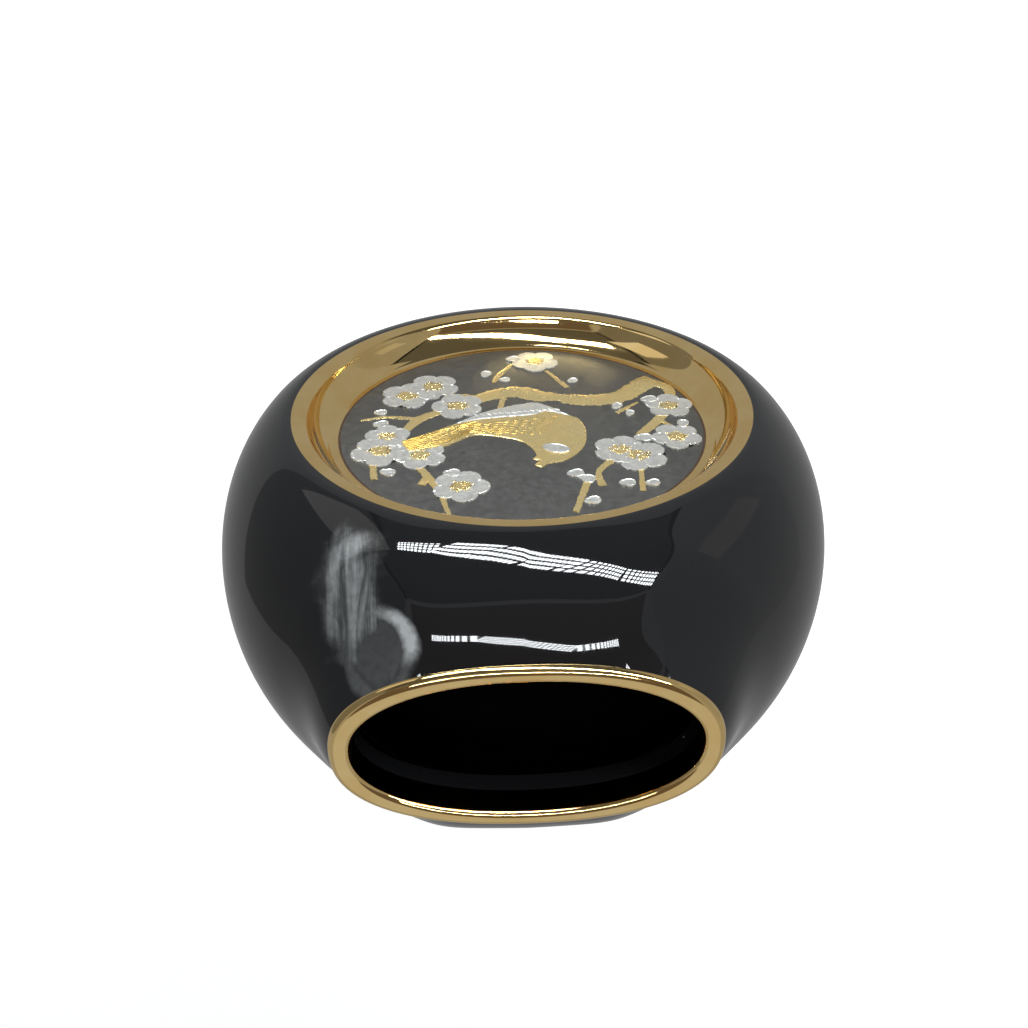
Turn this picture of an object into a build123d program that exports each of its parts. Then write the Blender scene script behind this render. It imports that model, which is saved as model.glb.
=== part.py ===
from build123d import *
import os
from math import atan2, cos, degrees, exp, hypot, radians, sin

# Pillow-shaped glazed vase with a round metal medallion let into its front.
# Millimetres. +Z up, the medallion faces -Y, the origin is the centre of the foot's underside.

# ---- outline seen from the front, measured from the medallion's centre ----
AXIS_HEIGHT = 58.5          # medallion's centre above the foot
HALF_WIDTH = 59.4
UPPER_REACH = 62.65         # where the upper outline would close above the centre, without the mouth
LOWER_REACH = 67.85         # the same below the centre, without the foot
OUTLINE_POWER = 1.93        # 2 is an ellipse
SHOULDER_FLARE = 6.65       # how far the shoulder swells out to meet the mouth's corners
SHOULDER_ANGLE = 68.0       # degrees above the horizontal
SHOULDER_SPREAD = 10.6      # degrees

# ---- front-to-back profile ----
HALF_DEPTH = 31.3
FACE_RADIUS = 43.6          # flat round face, on the front and on the back
ROLL_DEPTH_POWER = 2.0
ROLL_REACH_POWER = 1.48
WALL = 4.0

# ---- foot ----
FOOT_RING_WIDTH = 5.0
FOOT_HOLLOW = 1.2
FLOOR_THICKNESS = 5.0

# ---- mouth ----
MOUTH_HEIGHT = 118.8
MOUTH_LEAN = 1.55           # how far the mouth sits to one side of the foot
RIM_RISE = 1.4              # height of the gilded rim above the end of the black glaze
RIM_HALF_WIDTH = 31.55
RIM_HALF_DEPTH = 17.1
RIM_POWER = 2.3
RIM_OUTER_ROUNDING = 1.3
RIM_INNER_ROUNDING = 1.1
EASE_START = 102.2          # above this the shoulder draws in to the oval of the rim
MOUTH_HALF_WIDTH = 28.05
MOUTH_HALF_DEPTH = 14.15
MOUTH_POWER = 2.15
HOLLOW_TOP = 110.0          # where the belly's hollow closes round the throat

# ---- lustre layers and medallion ----
LUSTRE = 0.35
THROAT_LUSTRE = 4.0         # how far the mouth's lustre runs down inside, below the rim
LIP_RADIUS = 42.85          # outer edge of the dish's lustre, flush with the flat face
LIP_CREST = (40.9, 0.15)    # radius and depth where the broad rounded lip starts to turn down
LIP_BULGE = 0.035           # how far the lip stands proud of a straight slope
TURN_BULGE = 0.16
DISH_WALL_TOP = (39.9, 0.95)
DISH_WALL_FOOT = (36.6, 5.35)
WALL_HOLLOW = 0.5           # how far the dish's wall is hollowed below a straight slope
BEND_HOLLOW = 0.08
LEDGE_RADIUS = 35.7         # inside this a level ledge runs to the seat
DISH_DEPTH = 5.8
BACKING_RADIUS = 46.25      # reach of the thickened ceramic behind the dish
SEAT_RADIUS = 34.8
PLAQUE_RADIUS = 34.5
PLAQUE_THICKNESS = 1.0
ADHESIVE_RADIUS = 34.0
ADHESIVE_THICKNESS = 0.2
RELIEF = 0.25               # height of the plated drawing above the plaque
SEAT_WALL = 3.6             # ceramic left behind the plaque's seat

RIM_BASE = MOUTH_HEIGHT - RIM_RISE
FACE_Y = -HALF_DEPTH
PLAQUE_Y = FACE_Y + DISH_DEPTH
SEAT_DEPTH = DISH_DEPTH + PLAQUE_THICKNESS + ADHESIVE_THICKNESS


# ---- ceramic skin ----

def outline_radius(bearing):
    """Distance from the medallion's centre to the outline; the bearing is in degrees from +X."""
    across = abs(cos(radians(bearing)))
    upward = sin(radians(bearing))
    reach = UPPER_REACH if upward > 0 else LOWER_REACH
    terms = (across / HALF_WIDTH) ** OUTLINE_POWER + (abs(upward) / reach) ** OUTLINE_POWER
    radius = terms ** (-1 / OUTLINE_POWER)
    if upward > 0:
        steepness = degrees(atan2(upward, across))
        radius += SHOULDER_FLARE * exp(-(((steepness - SHOULDER_ANGLE) / SHOULDER_SPREAD) ** 2))
    return radius


def skin_radius(bearing, depth_share, inset=0.0):
    """The same at a depth between the middle (0) and the flat face (1), for a skin set in by inset."""
    swell = (1 - depth_share ** ROLL_DEPTH_POWER) ** (1 / ROLL_REACH_POWER)
    face = FACE_RADIUS - inset
    return face + (outline_radius(bearing) - inset - face) * swell


def plain_reach(bearing, height):
    """Distance from the upright axis to the uneased skin at a height, for a bearing in the level plane."""
    inner = 0.0
    outer = 1.5 * HALF_WIDTH
    rise = height - AXIS_HEIGHT
    for _ in range(40):
        middle = (inner + outer) / 2
        x = middle * cos(radians(bearing))
        share = abs(middle * sin(radians(bearing))) / HALF_DEPTH
        inside = share < 1 and hypot(x, rise) < skin_radius(degrees(atan2(rise, x)), share)
        if inside:
            inner = middle
        else:
            outer = middle
    return inner


def oval(bearing, half_width, half_depth, power):
    """Distance from the middle of a superellipse to its edge."""
    across = abs(cos(radians(bearing))) / half_width
    along = abs(sin(radians(bearing))) / half_depth
    return (across ** power + along ** power) ** (-1 / power)


def rim_reach(bearing):
    return oval(bearing, RIM_HALF_WIDTH, RIM_HALF_DEPTH, RIM_POWER)


def mouth_reach(bearing):
    return oval(bearing, MOUTH_HALF_WIDTH, MOUTH_HALF_DEPTH, MOUTH_POWER)


def eased(x, y, height):
    """A point of the plain pillow after the top is leaned over and drawn in to the rim's oval."""
    rise = min(max(height - AXIS_HEIGHT, 0) / (RIM_BASE - AXIS_HEIGHT), 1)
    near_rim = min(max(height - EASE_START, 0) / (RIM_BASE - EASE_START), 1)
    scale = 1.0
    if near_rim > 0:
        bearing = degrees(atan2(y, x))
        weight = near_rim ** 2 * (3 - 2 * near_rim)
        scale += weight * (rim_reach(bearing) / plain_reach(bearing, RIM_BASE) - 1)
    return x * scale + MOUTH_LEAN * rise ** 2, y * scale, height


def closed_curve(points):
    return Wire([Edge.make_spline([Vector(*point) for point in points], periodic=True)])


def pillow(inset=0.0):
    """Closed pillow lofted from the back face, through the full outline, to the front face."""
    sections = []
    for level in (-90, -82, -72, -60, -50, -40, -30, -20, -10, 0, 10, 20, 30, 40, 50, 60, 72, 82, 90):
        share = sin(radians(level))
        ring = []
        for bearing in range(0, 360, 4):
            radius = skin_radius(bearing, abs(share), inset)
            x = radius * cos(radians(bearing))
            height = AXIS_HEIGHT + radius * sin(radians(bearing))
            ring.append(eased(x, share * (HALF_DEPTH - inset), height))
        sections.append(closed_curve(ring))
    return Solid.make_loft(sections)


def slab(bottom, top):
    """Wide block between two heights, to cut a pillow level."""
    block = Box(4 * HALF_WIDTH, 4 * HALF_DEPTH, top - bottom, align=(Align.CENTER, Align.CENTER, Align.MIN))
    return Pos(0, 0, bottom) * block


def level_curve(reach, height):
    """Closed curve at a height from a function that gives its distance at each bearing."""
    bearings = range(0, 360, 10)
    return closed_curve([
        (reach(b) * cos(radians(b)), reach(b) * sin(radians(b)), height) for b in bearings
    ])


# ---- mouth ----

def prism(reach, bottom, top):
    """Upright prism on a level curve of the leaned mouth, from one height to another."""
    section = Face(level_curve(reach, bottom))
    return Pos(MOUTH_LEAN, 0, 0) * Solid.extrude(section, Vector(0, 0, top - bottom))


def bore(inset, bottom, top):
    """Oval prism of the mouth's opening, widened by inset."""
    return prism(lambda bearing: mouth_reach(bearing) + inset, bottom, top)


def rim(inset=0.0):
    """Rounded ring round the mouth above the end of the black glaze, set in on every side by inset."""
    top = MOUTH_HEIGHT - inset
    block = prism(lambda bearing: rim_reach(bearing) - inset, RIM_BASE, top)
    block = fillet(block.edges().group_by(Axis.Z)[-1], RIM_OUTER_ROUNDING - inset)
    ring = block - bore(inset, RIM_BASE - 1, top + 1)
    mouth_edge = ring.edges().group_by(Axis.Z)[-1].sort_by(SortBy.LENGTH)[:1]
    return fillet(mouth_edge, RIM_INNER_ROUNDING - inset)


# ---- medallion's dish: profiles are (radius, height out of the flat face) ----

DISH_PLANE = Plane(origin=(0, FACE_Y, AXIS_HEIGHT), x_dir=(1, 0, 0), z_dir=(0, 0, -1))
DISH_AXIS = Axis((0, FACE_Y, AXIS_HEIGHT), (0, -1, 0))
SHIFT = 0.7 * LUSTRE


def bowed(start, end, hollow):
    """Arc between two points of the dish's profile, hollowed into the ceramic, or proud if negative."""
    slope = (end - start).normalized()
    below = Vector(-slope.Y, slope.X)
    return ThreePointArc(start, (start + end) * 0.5 + below * hollow, end)


def dish_line(shift):
    """The dish's profile from the lip to the seat, moved outward and into the ceramic by shift."""
    turns = [LIP_CREST, DISH_WALL_TOP, DISH_WALL_FOOT, (LEDGE_RADIUS, DISH_DEPTH)]
    points = [Vector(LIP_RADIUS, -shift)]
    points += [Vector(radius + shift, -depth - shift) for radius, depth in turns]
    hollows = (-LIP_BULGE, -TURN_BULGE, WALL_HOLLOW, BEND_HOLLOW)
    edges = [bowed(start, end, hollow) for start, end, hollow in zip(points, points[1:], hollows)]
    return edges + [Line(points[-1], Vector(SEAT_RADIUS, -DISH_DEPTH - shift))]


def spun(edges):
    return revolve(DISH_PLANE * make_face(edges), DISH_AXIS, 360)


def dish_lustre():
    seat_edge = Line((SEAT_RADIUS, -DISH_DEPTH), (SEAT_RADIUS, -DISH_DEPTH - SHIFT))
    lip_edge = Line((LIP_RADIUS, -SHIFT), (LIP_RADIUS, 0))
    return spun(dish_line(0) + [seat_edge] + dish_line(SHIFT) + [lip_edge])


def dish_space():
    """Everything that is cut out of the ceramic for the dish, its lustre and the plaque's seat."""
    seat = Polyline(
        (SEAT_RADIUS, -DISH_DEPTH - SHIFT),
        (SEAT_RADIUS, -SEAT_DEPTH),
        (0, -SEAT_DEPTH),
        (0, 1),
        (LIP_RADIUS, 1),
        (LIP_RADIUS, -SHIFT),
    )
    return spun(dish_line(SHIFT) + [seat])


def seat_backing():
    """Thickened ceramic behind the dish and the seat, which the hollow keeps clear of."""
    edges = [Polyline(
        (0, 0),
        (BACKING_RADIUS, 0),
        (BACKING_RADIUS, -WALL),
        (SEAT_RADIUS + WALL, -SEAT_DEPTH - SEAT_WALL),
        (0, -SEAT_DEPTH - SEAT_WALL),
        (0, 0),
    )]
    return spun(edges)


def plaque_layer(radius, top, thickness):
    """Disc in the seat; top is its depth below the flat face."""
    disc = Plane(origin=(0, FACE_Y + top, AXIS_HEIGHT), x_dir=(1, 0, 0), z_dir=(0, 1, 0)) * Circle(radius)
    return extrude(disc, thickness)


def ceramic_body():
    outside = (pillow() & slab(0, RIM_BASE)) + rim(LUSTRE)
    hollow = (pillow(WALL) & slab(FLOOR_THICKNESS, HOLLOW_TOP)) - seat_backing()
    sleeve_bottom = RIM_BASE - THROAT_LUSTRE
    foot_curve = level_curve(lambda bearing: plain_reach(bearing, 0) - FOOT_RING_WIDTH, 0)
    foot_hollow = Solid.extrude(Face(foot_curve), Vector(0, 0, FOOT_HOLLOW))
    body = outside - hollow - bore(0, HOLLOW_TOP - 1, RIM_BASE)
    body -= bore(LUSTRE, sleeve_bottom, RIM_BASE)
    return body - dish_space() - foot_hollow


def mouth_lustre():
    """Lustre over the rim and a short way down the throat."""
    sleeve_bottom = RIM_BASE - THROAT_LUSTRE
    sleeve = bore(LUSTRE, sleeve_bottom, RIM_BASE) - bore(0, sleeve_bottom, RIM_BASE)
    return (rim() - rim(LUSTRE)) + sleeve


# ---- drawing plated on the plaque: (across, up) from its centre ----

DRAWING_PLACE = (-0.4, 0.9)   # the drawing sits a little off the plaque's centre
DRAWING = Plane(
    origin=(DRAWING_PLACE[0], PLAQUE_Y, AXIS_HEIGHT + DRAWING_PLACE[1]), x_dir=(1, 0, 0), z_dir=(0, -1, 0)
)

BLOSSOMS = [  # across, up, radius, turn in degrees
    (17.9, -18.6, 5.2, 10), (22.8, -14.9, 5.2, 40), (12.7, -9.9, 5.2, 0), (26.9, 7.2, 5.2, 20),
    (25.8, 1.7, 4.2, 60), (19.4, 9.1, 4.8, 5), (11.8, 20.3, 5.0, 30), (-3.5, -29.3, 4.8, 15),
    (-28.8, -7.8, 4.7, 50), (-28.4, 4.6, 4.7, 12), (-17.3, 8.9, 4.8, 33), (-20.4, 11.2, 5.4, 0),
]
BUDS = [  # across, up, half length, turn in degrees
    (1.2, -31.0, 1.5, 20), (7.0, -24.0, 1.4, 70), (3.1, -21.1, 1.1, 0), (-10.8, -20.0, 1.1, 30),
    (27.7, -8.1, 1.3, 0), (27.3, -3.3, 1.6, 10), (24.9, 14.9, 1.5, -20), (13.4, 15.7, 1.6, 0),
    (-25.3, -10.8, 1.7, 10), (-18.6, -8.3, 1.3, 50), (-20.8, -5.3, 1.1, 60), (-30.4, -0.4, 1.5, 80),
    (-22.2, 4.7, 1.8, 0), (-8.6, 16.9, 1.6, 10), (-10.4, 18.8, 1.7, -30), (-10.8, 26.0, 1.5, 15),
    (-17.4, 20.6, 1.5, 0), (-21.8, 20.8, 1.3, 10),
]
MAIN_BRANCH = [  # across, up, width
    (15.5, -14.8, 1.2), (9.0, -13.2, 2.6), (4.5, -15.0, 4.4), (0.0, -15.6, 4.4), (-4.5, -13.2, 3.6),
    (-10.0, -11.7, 4.2), (-15.5, -11.5, 4.8), (-20.0, -14.2, 4.8), (-24.0, -18.2, 5.2), (-26.4, -20.0, 5.4),
]
TWIGS = [
    [(-26.6, -18.8, 2.4), (-29.6, -15.2, 2.6), (-29.2, -11.4, 2.2)],
    [(31.5, -5.0, 0.6), (26.5, -6.2, 0.8), (20.6, -5.2, 1.1)],
    [(22.9, 0.2, 1.6), (20.4, -4.6, 2.4), (16.4, -7.8, 2.2)],
    [(27.9, 11.0, 1.4), (27.2, 17.1, 1.3)],
    [(19.8, 12.6, 1.4), (17.5, 17.0, 1.7), (15.5, 22.0, 1.3), (13.7, 29.2, 1.0)],
    [(17.6, 16.0, 1.3), (18.8, 19.4, 1.6)],
    [(16.2, 18.3, 1.0), (12.8, 18.8, 0.8)],
    [(-27.0, -4.0, 2.2), (-24.8, -0.6, 2.2), (-21.6, 3.6, 2.0)],
    [(-25.8, -2.6, 1.2), (-28.2, 0.6, 0.8)],
    [(-15.4, 12.6, 1.6), (-12.7, 16.6, 1.3), (-12.9, 21.1, 1.6)],
    [(-20.3, 16.2, 1.0), (-19.7, 23.3, 1.1)],
    [(-10.4, 19.8, 1.5), (-7.6, 29.4, 1.2)],
    [(-2.0, -34.1, 1.3), (-1.8, -31.5, 1.2)],
    [(1.4, -28.4, 0.8), (4.3, -23.4, 1.5), (5.4, -20.0, 0.9)],
    [(-5.6, -24.8, 0.8), (-9.4, -17.0, 1.2)],
    [(-18.2, -5.4, 1.2), (-22.8, -9.6, 0.7)],
    [(3.6, -13.0, 1.4), (4.6, -7.6, 1.2)],
]
BIRD_TAIL_END = [(23.4, 4.0), (21.6, 7.9)]
BIRD_BACK = [(21.6, 7.9), (15.4, 6.2), (9.2, 1.8), (4.6, 3.2), (0.2, 4.8), (-1.8, 8.4), (-2.2, 11.6)]
BIRD_BEAK = [(-2.2, 11.6), (-1.6, 14.4), (-4.4, 13.0)]
BIRD_BREAST = [(-4.4, 13.0), (-8.4, 11.0), (-11.3, 6.2), (-11.4, 0.0), (-9.8, -4.2)]
BIRD_FLANK = [(-9.8, -4.2), (-5.0, -6.4), (3.5, -5.2), (13.4, -2.4), (23.4, 4.0)]
BIRD_BELLY = [(13.4, -2.4), (7.6, -6.8), (2.6, -9.4), (-2.4, -10.4), (-6.4, -7.6), (-9.8, -4.2)]
CHEEK = (-5.6, 8.3, 2.5, 1.6, -20)


def petals(radius):
    """Five round petals about a centre."""
    flower = Circle(0.6 * radius)
    flower += PolarLocations(0.56 * radius, 5) * Circle(0.44 * radius)
    return flower


def stroke(points):
    """Tapering stroke along points that each carry a width."""
    left = []
    right = []
    for index, (x, y, width) in enumerate(points):
        before = points[max(index - 1, 0)]
        after = points[min(index + 1, len(points) - 1)]
        along = Vector(after[0] - before[0], after[1] - before[1]).normalized()
        side = Vector(-along.Y, along.X) * (width / 2)
        left.append(Vector(x, y) + side)
        right.append(Vector(x, y) - side)
    return make_face(Polyline(*left, *reversed(right), close=True))


def merged(shapes):
    shapes = list(shapes)
    whole = shapes[0]
    for shape in shapes[1:]:
        whole += shape
    return whole


def bird_outline():
    edges = [
        Polyline(*BIRD_TAIL_END),
        Spline(*BIRD_BACK),
        Polyline(*BIRD_BEAK),
        Spline(*BIRD_BREAST),
        Spline(*BIRD_FLANK),
    ]
    return make_face(edges)


def belly_outline():
    edges = [Spline(*BIRD_BELLY), Spline(*BIRD_FLANK[:4])]
    return make_face(edges)


def drawing():
    """The plated areas, each cut back where another lies over it."""
    cheek = Pos(CHEEK[0], CHEEK[1]) * Rot(0, 0, CHEEK[4]) * Ellipse(CHEEK[2], CHEEK[3])
    belly = belly_outline()
    bird = bird_outline()
    blossoms = merged(Pos(x, y) * Rot(0, 0, turn) * petals(radius) for x, y, radius, turn in BLOSSOMS)
    blossoms = blossoms - bird - belly
    stamens = merged(Pos(x, y) * Circle(0.36 * radius) for x, y, radius, turn in BLOSSOMS)
    stamens = stamens - bird - belly
    buds = merged(Pos(x, y) * Rot(0, 0, turn) * Ellipse(size, 0.7 * size) for x, y, size, turn in BUDS)
    buds = buds - blossoms - stamens
    branches = merged(stroke(points) for points in [MAIN_BRANCH] + TWIGS)
    branches = branches - bird - belly - blossoms - stamens - buds
    return {
        "bird_gilding": bird - cheek - belly,
        "bird_silvering": belly + cheek,
        "blossom_silvering": blossoms - stamens,
        "bud_silvering": buds,
        "stamen_gilding": stamens,
        "branch_gilding": branches,
    }


nodes = {
    "vase_body": ceramic_body(),
    "mouth_lustre": mouth_lustre(),
    "dish_lustre": dish_lustre(),
    "plaque_disc": plaque_layer(PLAQUE_RADIUS, DISH_DEPTH, PLAQUE_THICKNESS),
    "plaque_adhesive": plaque_layer(ADHESIVE_RADIUS, DISH_DEPTH + PLAQUE_THICKNESS, ADHESIVE_THICKNESS),
}
for name, sketch in drawing().items():
    nodes[name] = extrude(DRAWING * sketch, RELIEF)

os.makedirs("parts", exist_ok=True)
for name, shape in nodes.items():
    export_step(shape, f"parts/{name}.step")
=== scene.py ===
import math
import random

import bmesh
import bpy
import numpy as np
from mathutils import Matrix, Vector
from mathutils.geometry import delaunay_2d_cdt


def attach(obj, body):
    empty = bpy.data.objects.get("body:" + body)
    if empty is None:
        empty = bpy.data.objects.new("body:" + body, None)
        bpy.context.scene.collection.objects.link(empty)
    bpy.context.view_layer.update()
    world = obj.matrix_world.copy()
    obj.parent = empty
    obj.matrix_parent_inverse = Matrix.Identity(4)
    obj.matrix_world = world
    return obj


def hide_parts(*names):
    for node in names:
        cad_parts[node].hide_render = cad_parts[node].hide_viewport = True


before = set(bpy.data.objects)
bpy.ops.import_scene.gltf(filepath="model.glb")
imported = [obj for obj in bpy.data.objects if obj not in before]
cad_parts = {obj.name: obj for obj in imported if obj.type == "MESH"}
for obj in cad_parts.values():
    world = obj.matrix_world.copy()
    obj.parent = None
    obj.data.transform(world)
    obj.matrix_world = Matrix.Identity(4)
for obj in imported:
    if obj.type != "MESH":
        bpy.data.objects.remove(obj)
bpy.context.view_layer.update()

# Black glazed pillow vase with a gilded mouth and a plated medallion sunk in its front.
# Lengths below are millimetres, turned into metres by MM where a mesh or light is made.
MM = 0.001

# ---- driving dimensions, the same as the part's ----
AXIS_HEIGHT = 58.5
HALF_WIDTH = 59.4
UPPER_REACH = 62.65
LOWER_REACH = 67.85
OUTLINE_POWER = 1.93
SHOULDER_FLARE = 6.65
SHOULDER_ANGLE = 68.0
SHOULDER_SPREAD = 10.6
HALF_DEPTH = 31.3
FACE_RADIUS = 43.6
ROLL_REACH_POWER = 1.48
WALL = 4.0
FOOT_RING_WIDTH = 5.0
FOOT_HOLLOW = 1.2
FLOOR_THICKNESS = 5.0
MOUTH_HEIGHT = 118.8
MOUTH_LEAN = 1.55
RIM_BASE = 117.4
RIM_HALF_WIDTH = 31.55
RIM_HALF_DEPTH = 17.1
RIM_POWER = 2.3
RIM_OUTER_ROUNDING = 1.3
RIM_INNER_ROUNDING = 1.1
EASE_START = 102.2
MOUTH_HALF_WIDTH = 28.05
MOUTH_HALF_DEPTH = 14.15
MOUTH_POWER = 2.15
HOLLOW_TOP = 110.0
LUSTRE = 0.35
SLEEVE_BOTTOM = 113.4
LIP_RADIUS = 42.85
LIP_CREST = (40.9, 0.15)
LIP_BULGE = 0.035
TURN_BULGE = 0.16
DISH_WALL_TOP = (39.9, 0.95)
DISH_WALL_FOOT = (36.6, 5.35)
WALL_HOLLOW = 0.5
BEND_HOLLOW = 0.08
LEDGE_RADIUS = 35.7
DISH_DEPTH = 5.8
SEAT_RADIUS = 34.8
SEAT_WALL = 3.6
SEAT_DEPTH = 7.0
PLAQUE_RADIUS = 34.5
PLAQUE_THICKNESS = 1.0
PLAQUE_CHAMFER = 0.15
GLUE_LAP = 0.1      # how far the glue line laps over the plaque's edge
GLUE_DEPTH = 0.5
GLUE_CROWN = 0.04   # how far it stands above the plaque
PLAQUE_Y = -HALF_DEPTH + DISH_DEPTH

BACKING_EDGE = 6.1   # depth at which the ceramic behind the dish meets the hollow
BEARINGS = 720
SHARP = math.radians(32)


# ---- meshes ----

def ring_faces(count, rings, closed=False):
    """Quads that join equal rings of vertices in order, and the last to the first when closed."""
    faces = []
    last = rings if closed else rings - 1
    for ring in range(last):
        here = ring * count
        there = ((ring + 1) % rings) * count
        for step in range(count):
            after = (step + 1) % count
            faces.append((here + step, here + after, there + after, there + step))
    return faces


def add_rings(mesh, rings, closed=False, start_pole=None, end_pole=None):
    """Adds joined rings (arrays of points, millimetres) to a bmesh, with a fan to a point at either end."""
    count = len(rings[0])
    verts = [mesh.verts.new(Vector(point) * MM) for ring in rings for point in ring]
    for corners in ring_faces(count, len(rings), closed):
        mesh.faces.new([verts[corner] for corner in corners])
    for pole, offset in ((start_pole, 0), (end_pole, (len(rings) - 1) * count)):
        if pole is not None:
            centre = mesh.verts.new(Vector(pole) * MM)
            for step in range(count):
                mesh.faces.new((centre, verts[offset + step], verts[offset + (step + 1) % count]))
    return verts


def place(name, mesh, material):
    """Turns a bmesh into an object with one material."""
    data = bpy.data.meshes.new(name)
    mesh.to_mesh(data)
    mesh.free()
    data.materials.append(material)
    piece = bpy.data.objects.new(name, data)
    bpy.context.scene.collection.objects.link(piece)
    return piece


def finish_piece(mesh, name, material, replaced=()):
    """Turns a bmesh into a smooth-shaded piece of the object that rides on its one body."""
    bmesh.ops.recalc_face_normals(mesh, faces=mesh.faces)
    for face in mesh.faces:
        face.smooth = True
    for edge in mesh.edges:
        edge.smooth = len(edge.link_faces) == 2 and edge.calc_face_angle() < SHARP
    piece = place(name, mesh, material)
    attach(piece, "root")
    if replaced:
        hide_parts(*replaced)
    return piece


# ---- the pot's surfaces ----

def outline_radius(bearing):
    """Distance from the medallion's centre to the outline, for bearings in radians from +X."""
    across = np.abs(np.cos(bearing))
    upward = np.sin(bearing)
    reach = np.where(upward > 0, UPPER_REACH, LOWER_REACH)
    terms = (across / HALF_WIDTH) ** OUTLINE_POWER + (np.abs(upward) / reach) ** OUTLINE_POWER
    steepness = np.degrees(np.arctan2(np.abs(upward), across))
    flare = SHOULDER_FLARE * np.exp(-(((steepness - SHOULDER_ANGLE) / SHOULDER_SPREAD) ** 2))
    return terms ** (-1 / OUTLINE_POWER) + np.where(upward > 0, flare, 0)


def skin_radius(bearing, share, inset=0.0):
    """The same at a share of the depth from the middle to the flat face."""
    swell = np.maximum(1 - share ** 2, 0) ** (1 / ROLL_REACH_POWER)
    face = FACE_RADIUS - inset
    return face + (outline_radius(bearing) - inset - face) * swell


def front_ring(radius, depth, bearings):
    """Circle about the medallion's axis; depth is measured in from the flat face."""
    radii = np.broadcast_to(radius, bearings.shape)
    return np.stack([
        radii * np.cos(bearings),
        np.full(bearings.shape, -HALF_DEPTH + depth),
        AXIS_HEIGHT + radii * np.sin(bearings),
    ], 1)


def plain_reach(angles, height):
    """Distance from the upright axis to the uneased skin, for angles in the level plane."""
    inner = np.zeros_like(angles)
    outer = np.full_like(angles, 1.5 * HALF_WIDTH)
    rise = height - AXIS_HEIGHT
    for _ in range(45):
        middle = (inner + outer) / 2
        x = middle * np.cos(angles)
        share = np.abs(middle * np.sin(angles)) / HALF_DEPTH
        limit = skin_radius(np.arctan2(rise, x), np.minimum(share, 1))
        within = (share < 1) & (np.hypot(x, rise) < limit)
        inner = np.where(within, middle, inner)
        outer = np.where(within, outer, middle)
    return inner


def superellipse(angles, half_width, half_depth, power):
    """Distance from the middle of a superellipse to its edge."""
    across = np.abs(np.cos(angles)) / half_width
    along = np.abs(np.sin(angles)) / half_depth
    return (across ** power + along ** power) ** (-1 / power)


def rim_reach(angles):
    return superellipse(angles, RIM_HALF_WIDTH, RIM_HALF_DEPTH, RIM_POWER)


def mouth_reach(angles):
    return superellipse(angles, MOUTH_HALF_WIDTH, MOUTH_HALF_DEPTH, MOUTH_POWER)


ROUND = np.linspace(-math.pi, math.pi, 721)
DRAWN_IN = rim_reach(ROUND) / plain_reach(ROUND, RIM_BASE)


def eased(points):
    """Points of the plain pillow after the top is leaned over and drawn in to the rim's oval."""
    x, y, height = points.T
    rise = np.clip((height - AXIS_HEIGHT) / (RIM_BASE - AXIS_HEIGHT), 0, 1)
    near_rim = np.clip((height - EASE_START) / (RIM_BASE - EASE_START), 0, 1)
    weight = near_rim ** 2 * (3 - 2 * near_rim)
    scale = 1 + weight * (np.interp(np.arctan2(y, x), ROUND, DRAWN_IN) - 1)
    return np.stack([x * scale + MOUTH_LEAN * rise ** 2, y * scale, height], 1)


def pillow_rings(bearings, inset=0.0, levels=97, start=-1.0):
    """Rings of the pillow from a share of its depth near the front face to its back face."""
    rings = []
    for level in np.linspace(math.asin(start), math.pi / 2, levels):
        share = math.sin(level)
        radius = skin_radius(bearings, abs(share), inset)
        ring = front_ring(radius, HALF_DEPTH + share * (HALF_DEPTH - inset), bearings)
        rings.append(eased(ring))
    return rings


def level_points(reach, angles, shift=0.0):
    return np.stack([reach * np.cos(angles) + shift, reach * np.sin(angles)], 1)


def outward(points):
    """Unit normals of a closed level curve, pointing away from the upright axis."""
    along = np.roll(points, -1, 0) - np.roll(points, 1, 0)
    normal = np.stack([along[:, 1], -along[:, 0]], 1)
    return normal / np.linalg.norm(normal, axis=1, keepdims=True)


def at_height(points, height):
    return np.column_stack([points, np.full(len(points), height)])


# ---- rim round the mouth ----

def rim_rings(angles, inset=0.0):
    """Rings over the rim from its outer foot to the bottom of the throat's lustre."""
    outer = level_points(rim_reach(angles), angles, MOUTH_LEAN)
    inner = level_points(mouth_reach(angles), angles, MOUTH_LEAN)
    out_normal = outward(outer)
    in_normal = outward(inner)
    top = MOUTH_HEIGHT
    rings = [at_height(outer - out_normal * inset, RIM_BASE)]
    arc = np.linspace(0, math.pi / 2, 9)
    for turn in arc:
        back = inset + (RIM_OUTER_ROUNDING - inset) * (1 - math.cos(turn))
        height = top - RIM_OUTER_ROUNDING + (RIM_OUTER_ROUNDING - inset) * math.sin(turn)
        rings.append(at_height(outer - out_normal * back, height))
    start = outer - out_normal * RIM_OUTER_ROUNDING
    end = inner + in_normal * RIM_INNER_ROUNDING
    for share in (0.25, 0.5, 0.75):
        rings.append(at_height(start + (end - start) * share, top - inset))
    for turn in arc[::-1]:
        back = inset + (RIM_INNER_ROUNDING - inset) * (1 - math.cos(turn))
        height = top - RIM_INNER_ROUNDING + (RIM_INNER_ROUNDING - inset) * math.sin(turn)
        rings.append(at_height(inner + in_normal * back, height))
    rings.append(at_height(inner + in_normal * inset, SLEEVE_BOTTOM))
    return rings


# ---- medallion's dish: profiles are (radius, depth in from the flat face) ----

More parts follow.
